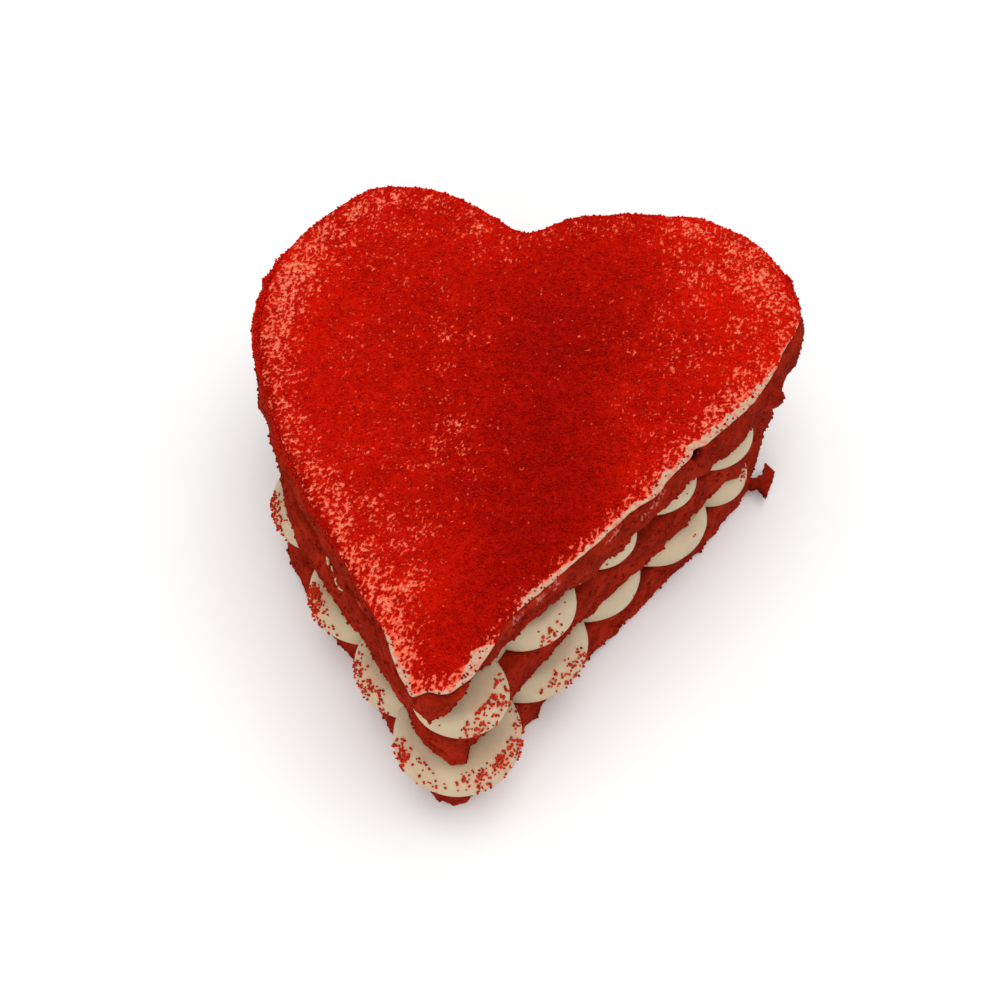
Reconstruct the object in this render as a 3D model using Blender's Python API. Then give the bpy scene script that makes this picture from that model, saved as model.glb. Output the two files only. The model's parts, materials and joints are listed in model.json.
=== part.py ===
"""A heart shaped layer cake in metres, +Z up, its point towards -Y and its base on z = 0.

From the base up: a sponge, a row of piped cream mounds, a sponge, a second row of mounds, a sponge,
and a thin spread of cream under cake crumbs.
"""

import math
import random

import bmesh
import bpy
from mathutils import Matrix, Vector, noise
from mathutils.geometry import delaunay_2d_cdt, interpolate_bezier

MM = 0.001
SEED = 7

# Heights of the layers, from the base up, and the hairline kept between two that touch
BOTTOM_SPONGE = 22 * MM
LOWER_CREAM = 11 * MM
MIDDLE_SPONGE = 20 * MM
UPPER_CREAM = 9 * MM
TOP_SPONGE = 17 * MM
TOP_CREAM = 2 * MM
HAIRLINE = 0.3 * MM

# The heart's edge as a closed curve, in mm from its point: x, y, heading in degrees, and how far
# the curve keeps that heading before and after the knot. It was cut by hand, so its sides differ.
HEART_KNOTS = (
    (0, 0, 0, 10, 7),
    (39, 61, 55, 44, 45),
    (102, 170, 90, 29, 25),
    (56, 215, 180, 24, 34),
    (-1, 198, 180, 5, 7),
    (-46, 218, 180, 22, 23),
    (-91, 157, 270, 30, 29),
    (-47, 53, 311, 41, 46),
)
POINT_AT = Vector((-5.1, -106.3)) * MM  # where the heart's point stands, with the cake centred
HEART_CORE = POINT_AT + Vector((4, 125)) * MM  # the whole edge can be seen from here
CURVE_STEPS = 48  # points read from the curve between two knots
FINE_LOOP = 1200  # points round the heart when a mound is being placed

# Torn crumb on the cut sides of the sponges
SPONGE_COLUMNS = 128
SPONGE_ROWS = (0.0, 0.3, 0.65, 1.0)  # shares of the sponge's height
WOBBLE = 1.1 * MM  # the slow waver of a hand-held knife
WOBBLE_LENGTH = 55 * MM
CRAG = 2.2 * MM  # torn crumb between one column and the next
CRAG_LENGTH = 6 * MM
WORN_EDGE = 0.9 * MM  # how far the top and bottom edges are rubbed back
LAYER_STEP = 10  # keeps one layer's waver and crumb unlike the next one's

# Where a sponge stands out or is torn back: share of the way round from the heart's point, share
# of the height, how far out, and how far that reaches along the side
BOTTOM_SPOTS = (
    (0.002, 0.2, 2.5 * MM, 7 * MM),
    (0.225, 0.1, 1.3 * MM, 14 * MM),
    (0.2575, 0.2, 2.2 * MM, 9 * MM),
    (0.285, 0.4, -1.4 * MM, 12 * MM),
    (0.3, 0.6, -2.5 * MM, 28 * MM),
    (0.705, 0.7, 3 * MM, 5 * MM),
    (0.825, 0.4, 5 * MM, 45 * MM),
    (0.94, 0.3, 2 * MM, 20 * MM),
)
MIDDLE_SPOTS = (
    (0.006, 0.0, 4.2 * MM, 5.5 * MM),
    (0.0275, 0.0, 2.4 * MM, 5 * MM),
    (0.235, 0.0, -1 * MM, 4 * MM),
    (0.2437, 0.0, 4.6 * MM, 6.5 * MM),
    (0.2547, 0.0, 1.5 * MM, 5 * MM),
    (0.3, 0.5, -1.5 * MM, 25 * MM),
    (0.7, 0.3, 2.5 * MM, 40 * MM),
    (0.715, 0.6, 3 * MM, 5 * MM),
    (0.83, 0.2, 2.8 * MM, 34 * MM),
)
TOP_SPOTS = (
    (0.004, 0.0, -4 * MM, 10 * MM),
    (0.021, 0.0, -6 * MM, 17 * MM),
    (0.035, 0.2, -4 * MM, 30 * MM),
    (0.06, 0.2, -3 * MM, 18 * MM),
    (0.084, 0.0, -2.8 * MM, 11 * MM),
    (0.15, 0.3, 1.8 * MM, 60 * MM),
    (0.2595, 0.4, 3.6 * MM, 5.5 * MM),
    (0.372, 0.6, 0.9 * MM, 12 * MM),
    (0.405, 0.6, 1.8 * MM, 9 * MM),
    (0.45, 0.6, 1.6 * MM, 18 * MM),
    (0.478, 0.6, 2.8 * MM, 14 * MM),
    (0.614, 0.6, 2.4 * MM, 13 * MM),
    (0.815, 0.3, 2 * MM, 22 * MM),
    (0.235, 0.2, 3 * MM, 30 * MM),
    (0.31, 0.5, 4.5 * MM, 40 * MM),
    (0.695, 0.6, 5 * MM, 6 * MM),
    (0.735, 0.5, 4.5 * MM, 50 * MM),
    (0.78, 0.4, 3 * MM, 6 * MM),
    (0.978, 0.8, 5 * MM, 30 * MM),
    (0.992, 0.0, 1 * MM, 5 * MM),
)

# The torn flake that hangs out of the bottom sponge on the right: its outline from above, in mm from
# the heart's point, its inner end inside the sponge, and the heights of its two faces
FLAKE = (
    (91, 146),
    (97, 146),
    (99.4, 146.3),
    (101.3, 145.1),
    (102.6, 142.3),
    (103.3, 144.4),
    (104.8, 149.5),
    (105.9, 154.6),
    (103, 157.3),
    (101.8, 158.6),
    (101.2, 153),
    (98.8, 150.7),
    (91, 150.4),
)
FLAKE_HEIGHTS = (3.6 * MM, 6.4 * MM)

# Piped mounds: x, y from the heart's point and width of the one at the point, then up both sides
# the distance from the last one's centre, the width, and how far it stands out past the sponge.
# The rest go evenly round the back.
LOWER_ROW = {
    "point": (-0.2 * MM, 15.5 * MM, 43.6 * MM),
    "right": (
        (41 * MM, 47 * MM, 8.5 * MM),
        (36.8 * MM, 42 * MM, 3 * MM),
        (35 * MM, 44 * MM, 5.2 * MM),
        (30.5 * MM, 32 * MM, 3 * MM),
        (30 * MM, 34 * MM, -2 * MM),
    ),
    "left": (
        (30.5 * MM, 42 * MM, 7.5 * MM),
        (34.3 * MM, 43.2 * MM, 7.5 * MM),
        (41.5 * MM, 47 * MM, 7 * MM),
        (38 * MM, 42 * MM, 2 * MM),
    ),
    "rest": (35 * MM, 40 * MM, 1 * MM),
}
UPPER_ROW = {
    "point": (1.4 * MM, 15.7 * MM, 31.4 * MM),
    "right": (
        (38.5 * MM, 37.4 * MM, 4.3 * MM),
        (37.2 * MM, 30 * MM, 1 * MM),
        (31.7 * MM, 33 * MM, 1 * MM),
        (28.7 * MM, 35 * MM, 4 * MM),
        (32 * MM, 34 * MM, -1.5 * MM),
    ),
    "left": (
        (33 * MM, 32 * MM, -3 * MM),
        (34 * MM, 33 * MM, -3 * MM),
        (34 * MM, 34 * MM, -3 * MM),
        (34 * MM, 35 * MM, -1 * MM),
    ),
    "rest": (35 * MM, 36 * MM, 1 * MM),
}
CREAM_COLUMNS = 186
CREAM_ROWS = (0.0, 0.24, 0.56, 0.83, 1.0)  # shares of the cream's height
WIDEST = 0.24  # share of its height at which a mound is widest
FOOT_TUCK = 1.6 * MM  # how far a mound draws in below its widest
CROWN_TUCK = 6 * MM  # how far it draws in above, up to the sponge
FILLING_INSET = 13 * MM  # where the cream between two mounds starts, in from the sponge's edge

# The cream on top: (share of its height, how far out) of its rounded lip, and where the lip bulges
# or draws back: share of the way round, 0, how far out, how far that reaches along the edge
TOP_COLUMNS = 140
TOP_LIP = ((0.0, -1.4 * MM), (0.35, -0.2 * MM), (0.75, -0.3 * MM), (1.0, -1.5 * MM))
TOP_LIP_SPOTS = (
    (0.012, 0, -1.1 * MM, 18 * MM),
    (0.05, 0, -4 * MM, 16 * MM),
    (0.075, 0, -2 * MM, 24 * MM),
    (0.155, 0, 1.4 * MM, 10 * MM),
    (0.235, 0, 2.4 * MM, 30 * MM),
    (0.31, 0, 1.7 * MM, 22 * MM),
    (0.372, 0, 0.9 * MM, 12 * MM),
    (0.405, 0, 1.8 * MM, 9 * MM),
    (0.45, 0, 1.6 * MM, 18 * MM),
    (0.478, 0, 2.8 * MM, 14 * MM),
    (0.614, 0, 2.4 * MM, 13 * MM),
    (0.845, 0, -1.4 * MM, 30 * MM),
    (0.93, 0, 1.2 * MM, 20 * MM),
    (0.9755, 0, 3.8 * MM, 17 * MM),
    (0.9855, 0, 2.2 * MM, 5 * MM),
)
BUMP_SPACING = 6.4 * MM
BUMP_RISE = (-0.05 * MM, 0.5 * MM)

# Crumbs that are large enough to be solids of their own, by radius
TOP_CRUMB_SIZE = (1 * MM, 1.5 * MM)
TOP_CRUMB_SPACING = 19 * MM
TOP_CRUMB_STAND = 0.25 * MM  # how far its centre stands above the spread
ROW_CRUMB_SIZE = (0.8 * MM, 1.2 * MM)
ROW_CRUMBS = 26
CRUMB_TURN = 0.6  # how far round a mound from its outermost line, in radians
CRUMB_RISE = (0.28, 0.52)  # shares of the mound's height
CRUMB_LUMPS = (0.75, 1.2)  # shares of its radius at which a crumb's corners stand
SPREAD_JITTER = 0.2  # share of the spacing by which a place on top strays
EDGE_MARGIN = 0.55  # share of the spacing kept clear inside the edge


def clear_scene():
    for obj in list(bpy.data.objects):
        bpy.data.objects.remove(obj, do_unlink=True)


def material(name, colour, roughness):
    made = bpy.data.materials.new(name)
    made.use_nodes = True
    shader = made.node_tree.nodes["Principled BSDF"]
    shader.inputs["Base Color"].default_value = (*colour, 1)
    shader.inputs["Roughness"].default_value = roughness
    shader.inputs["Metallic"].default_value = 0
    return made


def heading(degrees):
    return Vector((math.cos(math.radians(degrees)), math.sin(math.radians(degrees))))


def heart_curve():
    """Close-set points along the heart's edge, anticlockwise from its point."""
    points = []
    for here, after in zip(HEART_KNOTS, HEART_KNOTS[1:] + HEART_KNOTS[:1]):
        start, end = Vector(here[:2]), Vector(after[:2])
        leaving = start + heading(here[2]) * here[4]
        arriving = end - heading(after[2]) * after[3]
        bend = [knot.to_3d() for knot in (start, leaving, arriving, end)]
        points += interpolate_bezier(*bend, CURVE_STEPS)[:-1]
    return [POINT_AT + point.to_2d() * MM for point in points]


def heart_loop(count):
    """Evenly spaced (place, outward direction, share of the way round), and the edge's length."""
    curve = heart_curve()
    curve.append(curve[0])
    travelled = [0.0]
    for before, after in zip(curve, curve[1:]):
        travelled.append(travelled[-1] + (after - before).length)
    loop, edge = [], 0
    for number in range(count):
        wanted = travelled[-1] * number / count
        while travelled[edge + 1] < wanted:
            edge += 1
        along = curve[edge + 1] - curve[edge]
        part = (wanted - travelled[edge]) / along.length
        outward = Vector((along.y, -along.x)).normalized()
        loop.append((curve[edge] + along * part, outward, number / count))
    return loop, travelled[-1]


def rising_wall(rings):
    """A closed solid from rings of (x, y, z), lowest first, each with as many places as the last."""
    mesh = bmesh.new()
    lowest = [mesh.verts.new(place) for place in rings[0]]
    cap = mesh.faces.new(lowest)
    for ring in rings[1:]:
        cap = bmesh.ops.extrude_discrete_faces(mesh, faces=[cap])["faces"][0]
        for corner, place in zip(cap.verts, ring):
            corner.co = place
    mesh.faces.new(list(reversed(lowest)))
    return mesh, cap


def node_from(mesh, name, finish):
    data = bpy.data.meshes.new(name)
    mesh.to_mesh(data)
    mesh.free()
    data.materials.append(finish)
    made = bpy.data.objects.new(name, data)
    bpy.context.scene.collection.objects.link(made)
    return made


def waver(place, layer):
    """The slow waver of the knife at this place on the edge, out or in."""
    return WOBBLE * noise.noise(Vector((*(place / WOBBLE_LENGTH), layer * LAYER_STEP)))


def spots_reach(spots, share, height_share, edge_length, height):
    """How far the spots push this place on a sponge's side out, or in."""
    pushed = 0.0
    for spot_share, spot_height, reach, width in spots:
        turn = (share - spot_share + 0.5) % 1 - 0.5
        away = math.hypot(turn * edge_length, (height_share - spot_height) * height)
        pushed += reach * max(0.0, 1 - away / width)
    return pushed


def add_flake(node):
    """Joins the torn flake to the sponge that it hangs from."""
    rings = [[(*(POINT_AT + Vector(corner) * MM), z) for corner in FLAKE] for z in FLAKE_HEIGHTS]
    mesh, _ = rising_wall(rings)
    data = bpy.data.meshes.new("flake")
    mesh.to_mesh(data)
    mesh.free()
    flakes = bpy.data.collections.new("flakes")
    flakes.objects.link(bpy.data.objects.new("flake", data))
    fuse(node, flakes)


def sponge(name, low, high, spots, layer, finish):
    """A slice of sponge from low to high, with torn crumb on its cut side."""
    loop, edge_length = heart_loop(SPONGE_COLUMNS)
    height = high - HAIRLINE - low
    rings = []
    for row in SPONGE_ROWS:
        ring = []
        z = low + height * row
        worn = WORN_EDGE if row in (0.0, 1.0) else 0.0
        for place, outward, share in loop:
            grain = Vector((*(place / CRAG_LENGTH), z / CRAG_LENGTH + layer * LAYER_STEP))
            torn = CRAG * noise.noise(grain)
            spot = spots_reach(spots, share, row, edge_length, height)
            ring.append((*(place + outward * (waver(place, layer) + torn + spot - worn)), z))
        rings.append(ring)
    mesh, _ = rising_wall(rings)
    return node_from(mesh, name, finish)


def piped_row(point, right, left, rest):
    """(centre, radius) of each mound: from the heart's point along both sides, then evenly behind."""
    loop, edge_length = heart_loop(FINE_LOOP)

    def centre_at(step, width, proud):
        place, outward, _ = loop[step % FINE_LOOP]
        return place - outward * (width / 2 - proud)

    x, y, width = point
    mounds = [(POINT_AT + Vector((x, y)), width / 2)]
    ends = []
    for way, side in ((1, right), (-1, left)):
        step, centre = 0, mounds[0][0]
        for distance, width, proud in side:
            while (centre_at(step, width, proud) - centre).length < distance:
                step += way
            centre = centre_at(step, width, proud)
            mounds.append((centre, width / 2))
        ends.append(step % FINE_LOOP)
    distance, width, proud = rest
    behind = (ends[1] - ends[0]) * edge_length / FINE_LOOP
    count = round(behind / distance) - 1
    for number in range(1, count + 1):
        step = round(ends[0] + (ends[1] - ends[0]) * number / (count + 1))
        mounds.append((centre_at(step, width, proud), width / 2))
    return mounds


def tuck(row):
    """How far a mound's side stands in from its widest, at this share of its height."""
    if row < WIDEST:
        return FOOT_TUCK * (1 - row / WIDEST) ** 2
    rise = (row - WIDEST) / (1 - WIDEST)
    return CROWN_TUCK * (1 - math.sqrt(1 - rise * rise))


def rim_distance(away, mounds, tucked, least):
    """How far the row of mounds reaches from the heart's core in the direction `away`."""
    far = least
    for centre, radius in mounds:
        offset = centre - HEART_CORE
        along = offset.dot(away)
        half_chord = (radius - tucked) ** 2 - offset.length_squared + along * along
        if half_chord > 0:
            far = max(far, along + math.sqrt(half_chord))
    return far


def add_crumb(crumbs, place, radius, draw):
    """One lumpy crumb, centred on `place`, in the collection that a union will join."""
    mesh = bmesh.new()
    bmesh.ops.create_icosphere(mesh, subdivisions=1, radius=radius)
    for corner in mesh.verts:
        corner.co *= draw.uniform(*CRUMB_LUMPS)
    bmesh.ops.rotate(mesh, verts=mesh.verts, matrix=Matrix.Rotation(draw.uniform(0, math.pi), 3, "X"))
    bmesh.ops.rotate(mesh, verts=mesh.verts, matrix=Matrix.Rotation(draw.uniform(0, math.pi), 3, "Z"))
    bmesh.ops.translate(mesh, verts=mesh.verts, vec=place)
    data = bpy.data.meshes.new("crumb")
    mesh.to_mesh(data)
    mesh.free()
    crumbs.objects.link(bpy.data.objects.new("crumb", data))


def fuse(node, crumbs):
    """Joins every crumb of the collection to the node, then removes the loose ones."""
    bpy.context.scene.collection.children.link(crumbs)
    union = node.modifiers.new("crumbs", "BOOLEAN")
    union.operation = "UNION"
    union.operand_type = "COLLECTION"
    union.collection = crumbs
    union.solver = "EXACT"
    evaluated = node.evaluated_get(bpy.context.evaluated_depsgraph_get())
    joined = bpy.data.meshes.new_from_object(evaluated)
    node.modifiers.clear()
    node.data = joined
    for loose in list(crumbs.objects):
        bpy.data.objects.remove(loose, do_unlink=True)
    bpy.data.collections.remove(crumbs)


def cream_row(name, low, high, row_sizes, draw, finish):
    """A row of piped mounds round a filling, one body, with crumbs stuck to the mounds."""
    mounds = piped_row(**row_sizes)
    loop, _ = heart_loop(CREAM_COLUMNS)
    height = high - HAIRLINE - low
    rings = []
    for row in CREAM_ROWS:
        ring = []
        for place, _, _ in loop:
            spoke = place - HEART_CORE
            away = spoke.normalized()
            reach = rim_distance(away, mounds, tuck(row), spoke.length - FILLING_INSET)
            ring.append((*(HEART_CORE + away * reach), low + height * row))
        rings.append(ring)
    mesh, _ = rising_wall(rings)
    node = node_from(mesh, name, finish)

    crumbs = bpy.data.collections.new(name)
    for number in range(ROW_CRUMBS):
        centre, radius = mounds[number % len(mounds)]
        turn = Matrix.Rotation(draw.uniform(-CRUMB_TURN, CRUMB_TURN), 2)
        away = turn @ (centre - HEART_CORE).normalized()
        row = draw.uniform(*CRUMB_RISE)
        spot = centre + away * (radius - tuck(row))
        add_crumb(crumbs, (*spot, low + height * row), draw.uniform(*ROW_CRUMB_SIZE), draw)
    fuse(node, crumbs)


def top_ring(z, offset):
    """One level of the spread's rounded edge."""
    loop, edge_length = heart_loop(TOP_COLUMNS)
    ring = []
    for place, outward, share in loop:
        lip = spots_reach(TOP_LIP_SPOTS, share, 0, edge_length, 0)
        ring.append((*(place + outward * (offset + lip + waver(place, 0))), z))
    return ring


def clear_inside(place, edge, margin):
    """Whether a place lies inside the closed edge, and further from it than the margin."""
    inside = False
    for before, after in zip(edge, edge[1:] + edge[:1]):
        if (before - place).length < margin:
            return False
        if (before.y > place.y) != (after.y > place.y):
            rise = (place.y - before.y) / (after.y - before.y)
            inside ^= place.x < before.x + rise * (after.x - before.x)
    return inside


def spread_places(edge, spacing, draw):
    """Places all over the top, a spacing apart in staggered rows that stray a little."""
    reach = max((place - HEART_CORE).length for place in edge)
    rows = int(reach / spacing) + 1
    places = []
    for row in range(-rows, rows + 1):
        for column in range(-rows, rows + 1):
            stagger = Vector((column + 0.5 * (row % 2), row * math.sqrt(0.75)))
            stray = Vector((draw.uniform(-1, 1), draw.uniform(-1, 1))) * SPREAD_JITTER
            place = HEART_CORE + (stagger + stray) * spacing
            if clear_inside(place, edge, spacing * EDGE_MARGIN):
                places.append(place)
    return places


def lay_bumps(mesh, cap, draw):
    """Replaces the flat cap of the spread by a face full of low bumps."""
    rim = list(cap.verts)
    edge = [corner.co.to_2d() for corner in rim]
    z = rim[0].co.z
    bmesh.ops.delete(mesh, geom=[cap], context="FACES_ONLY")
    borders = [(number, (number + 1) % len(rim)) for number in range(len(rim))]
    places = edge + spread_places(edge, BUMP_SPACING, draw)
    spots, _, faces, sources, _, _ = delaunay_2d_cdt(places, borders, [], 1, 0)
    corners = []
    for spot, source in zip(spots, sources):
        on_rim = source[0] < len(rim)
        corners.append(rim[source[0]] if on_rim else mesh.verts.new((*spot, z + draw.uniform(*BUMP_RISE))))
    for face in faces:
        mesh.faces.new([corners[number] for number in face])
    bmesh.ops.recalc_face_normals(mesh, faces=mesh.faces)


def cream_top(name, low, high, draw, finish):
    """The thin spread on top: a rounded lip, a bumpy face, and the largest of the crumbs."""
    mesh, cap = rising_wall([top_ring(low + (high - low) * row, offset) for row, offset in TOP_LIP])
    edge = [corner.co.to_2d() for corner in cap.verts]
    lay_bumps(mesh, cap, draw)
    node = node_from(mesh, name, finish)

    crumbs = bpy.data.collections.new(name)
    for place in spread_places(edge, TOP_CRUMB_SPACING, draw):
        add_crumb(crumbs, (*place, high + TOP_CRUMB_STAND), draw.uniform(*TOP_CRUMB_SIZE), draw)
    fuse(node, crumbs)


def main():
    clear_scene()
    draw = random.Random(SEED)
    red = material("Red sponge", (0.23, 0.012, 0.008), 0.9)
    ivory = material("Ivory cream", (0.74, 0.68, 0.52), 0.45)
    crumbed = material("Crumbed cream", (0.48, 0.012, 0.006), 0.9)

    z = 0.0
    add_flake(sponge("sponge_bottom", z, z + BOTTOM_SPONGE, BOTTOM_SPOTS, 1, red))
    z += BOTTOM_SPONGE
    cream_row("cream_lower", z, z + LOWER_CREAM, LOWER_ROW, draw, ivory)
    z += LOWER_CREAM
    sponge("sponge_middle", z, z + MIDDLE_SPONGE, MIDDLE_SPOTS, 2, red)
    z += MIDDLE_SPONGE
    cream_row("cream_upper", z, z + UPPER_CREAM, UPPER_ROW, draw, ivory)
    z += UPPER_CREAM
    sponge("sponge_top", z, z + TOP_SPONGE, TOP_SPOTS, 3, red)
    z += TOP_SPONGE
    cream_top("cream_top", z, z + TOP_CREAM, draw, crumbed)


main()
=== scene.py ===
"""The looks of a heart shaped layer cake: torn red sponge, piped ivory cream, and a top of red crumbs.

Laid out as an add-on and run as a script. Lengths are in metres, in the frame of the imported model.
"""

import json
import math
import random

import bmesh
import bpy
import numpy as np
from bpy.props import FloatProperty, FloatVectorProperty, IntProperty, PointerProperty
from bpy.types import Collection, NodeSocket, Operator, Panel, PropertyGroup
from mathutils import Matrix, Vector, noise
from mathutils.bvhtree import BVHTree
from mathutils.geometry import interpolate_bezier
from mathutils.kdtree import KDTree

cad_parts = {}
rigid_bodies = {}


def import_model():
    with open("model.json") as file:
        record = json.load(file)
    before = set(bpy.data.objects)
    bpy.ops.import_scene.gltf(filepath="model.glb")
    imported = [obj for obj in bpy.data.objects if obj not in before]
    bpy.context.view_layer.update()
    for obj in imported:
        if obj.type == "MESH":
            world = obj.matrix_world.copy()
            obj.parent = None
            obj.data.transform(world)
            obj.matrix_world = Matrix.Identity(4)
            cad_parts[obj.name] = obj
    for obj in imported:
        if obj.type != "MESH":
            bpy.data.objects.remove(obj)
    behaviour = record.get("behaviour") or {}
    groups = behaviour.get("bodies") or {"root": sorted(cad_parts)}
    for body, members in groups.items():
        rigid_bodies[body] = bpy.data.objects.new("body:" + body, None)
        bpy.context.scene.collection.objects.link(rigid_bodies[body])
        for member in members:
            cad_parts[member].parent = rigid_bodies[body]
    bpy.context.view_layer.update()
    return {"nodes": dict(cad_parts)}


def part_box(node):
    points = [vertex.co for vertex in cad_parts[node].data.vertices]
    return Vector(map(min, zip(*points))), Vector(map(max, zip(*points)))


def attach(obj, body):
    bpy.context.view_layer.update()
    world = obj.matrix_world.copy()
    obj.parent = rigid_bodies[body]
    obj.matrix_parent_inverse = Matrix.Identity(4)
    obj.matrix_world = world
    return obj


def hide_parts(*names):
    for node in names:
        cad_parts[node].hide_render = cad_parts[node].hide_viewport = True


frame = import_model()

bl_info = {
    "name": "Heart layer cake",
    "version": (1, 0, 0),
    "blender": (4, 5, 0),
    "location": "3D View > Sidebar > Cake",
    "description": "Dresses the heart shaped layer cake: sponges, piped cream, crumbs and the stage",
    "category": "Add Mesh",
}

MM = 0.001
SEED = 11


def metres(kept, *rows):
    """The rows, with every value after the first `kept` turned from mm into metres."""
    return [(*row[:kept], *(value * MM for value in row[kept:])) for row in rows]


# The heart's edge as a closed curve, in mm from its point: x, y, heading in degrees, and how far
# the curve keeps that heading before and after the knot.
HEART_KNOTS = (
    (0, 0, 0, 10, 7), (39, 61, 55, 44, 45), (102, 170, 90, 29, 25), (56, 215, 180, 24, 34),
    (-1, 198, 180, 5, 7), (-46, 218, 180, 22, 23), (-91, 157, 270, 30, 29), (-47, 53, 311, 41, 46),
)
POINT_AT = Vector((-5.1, -106.3)) * MM
HEART_CORE = POINT_AT + Vector((4, 125)) * MM  # the whole edge can be seen from here
CORE_CLEAR = 40  # mm from the core, all round inside every solid
CURVE_STEPS = 48
FINE_LOOP = 1200
LIP_COLUMNS = 1000
SHARE_COLUMNS = 600
FILLING_COLUMNS = 400

# The torn flake that hangs out of the bottom sponge on the right: its outline from above, in mm from
# the heart's point, and the heights of its two faces
FLAKE = (
    (94, 146), (97, 146), (99.4, 146.3), (101.3, 145.1), (102.6, 142.3), (103.3, 144.4),
    (104.8, 149.5), (105.9, 154.6), (103, 157.3), (101.8, 158.6), (101.2, 153), (98.8, 150.7),
    (94, 150.4),
)
FLAKE_HEIGHTS = (3.6 * MM, 6.4 * MM)

# Piped mounds, in mm: x, y from the heart's point and width of the one at the point, then up both
# sides the distance from the last one's centre, the width, and how far it stands out past the
# sponge. The rest go evenly round the back.
LOWER_ROW = {
    "point": (-0.2, 15.5, 43.6),
    "right": ((41, 47, 8.5), (36.8, 42, 3), (35, 44, 5.2), (30.5, 32, 3), (30, 34, -2)),
    "left": ((30.5, 42, 7.5), (34.3, 43.2, 7.5), (41.5, 47, 7), (38, 42, 2)),
    "rest": (35, 40, 1),
}
UPPER_ROW = {
    "point": (1.4, 15.7, 31.4),
    "right": ((38.5, 37.4, 4.3), (37.2, 30, 1), (31.7, 33, 1), (28.7, 35, 4), (32, 34, -1.5)),
    "left": ((33, 32, -3), (34, 33, -3), (34, 34, -3), (34, 35, -1)),
    "rest": (35, 36, 1),
}
WIDEST = 0.24  # share of its height at which a mound is widest
FOOT_TUCK = 1.6 * MM
CROWN_TUCK = 6 * MM
FILLING_INSET = 13 * MM
MOUND_ROWS = 14
MOUND_COLUMNS = 112
MOUND_SWELL = 0.35 * MM
SHARP_ANGLE = math.radians(40)

LIP_WIDEST = 0.7 * MM  # height above the spread's underside at which its lip is widest
LIP_UNDERCUT = 1.1 * MM
LIP_BULGE = 1.6 * MM
LIP_WAVER = 0.35 * MM

# Where cream shows between the crumbs near the top's edge: share of the way round from the heart's
# point, how much at most, and in mm how far inside the edge that is and how far it fades inwards
# and outwards
BARE_EDGE = metres(
    2,
    (0, 0.75, 0.5, 3.5, 3), (0.027, 0.75, 0.5, 4, 3), (0.038, 0.2, 0, 3, 3),
    (0.07, 0.45, 0.5, 3, 3), (0.12, 0.5, 1, 3, 3), (0.15, 0.45, 2, 4, 3), (0.19, 0.45, 3, 5, 3.5),
    (0.22, 0.6, 5, 7, 5), (0.25, 0.35, 4, 6, 6), (0.28, 0.22, 4, 6, 6), (0.31, 0.52, 6, 15, 9),
    (0.36, 0.52, 6, 17, 9), (0.42, 0.2, 6, 9, 6), (0.5, 0.2, 4, 6, 4), (0.56, 0.3, 5, 8, 5),
    (0.6, 0.42, 5, 10, 5), (0.66, 0.5, 6, 13, 7), (0.7, 0.65, 5, 13, 8), (0.75, 0.6, 5, 10, 7),
    (0.79, 0.42, 4.5, 5, 4.5), (0.82, 0.5, 5, 5.5, 4.5), (0.88, 0.46, 5, 9, 5),
    (0.94, 0.6, 4, 9, 4), (0.96, 0.7, 2, 5, 3), (0.985, 0.62, 0.5, 3.5, 3), (1, 0.75, 0.5, 3.5, 3),
)
# Places inside the top where more of it shows: x, y and how far, in mm from the heart's point, and
# how much
BARE_PATCHES = (
    (-12, 190, 11, 0.2), (-52, 183, 16, 0.16), (-15, 145, 9, 0.16), (-15, 95, 10, 0.2),
    (-24, 60, 12, 0.26), (-16, 26, 7, 0.25), (58, 160, 16, 0.14), (56, 108, 12, 0.14),
    (-50, 150, 45, 0.08), (-30, 90, 35, 0.09), (60, 150, 35, 0.08), (74, 188, 15, 0.34),
    (80, 193, 12, 0.42), (65, 188, 12, 0.36), (57, 200, 10, 0.3), (64, 146, 12, 0.22),
    (96, 179, 8, 0.5), (-77, 175, 13, 0.34), (-84, 152, 12, 0.42), (-67, 195, 10, 0.3),
    (-48, 192, 14, 0.22), (-22, 195, 8, 0.25), (-23, 144, 5, 0.3), (-22, 128, 5, 0.3),
    (-13, 104, 6, 0.3), (-18, 90, 7, 0.3), (-18, 42, 8, 0.3), (-23, 53, 8, 0.33),
    (-15, 62, 6, 0.22), (-20, 46, 5, 0.32), (-38, 66, 7, 0.42), (-49, 70, 6.5, 0.62),
    (-18, 36, 5, 0.78), (-27, 34, 6, 0.72), (-37, 42, 6, 0.6), (84, 128, 7.5, 0.75),
    (92, 132, 6, 0.6), (83, 140, 6, 0.48), (92, 143, 6, 0.55), (81, 161, 6, 0.42),
    (82, 151, 5, 0.35), (90, 152, 5, 0.35), (64, 171, 6, 0.3), (62, 208, 6, 0.66),
    (81, 186, 8, 0.5), (-19, 197, 5, 0.45), (54, 84, 6, 0.5), (46, 71, 5, 0.6), (-58, 68, 6, 0.5),
    (-70, 96, 6, 0.38), (-75, 117, 6, 0.4), (-69, 85, 6, 0.42), (-78, 129, 6, 0.48),
    (-88, 138, 5, 0.42), (44, 205, 5, 0.22), (-16, 13, 5.5, 0.75), (-5, 3, 4, 0.7),
    (-58, 79, 6, 0.48), (50, 120, 15, 0.12),
)
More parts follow.
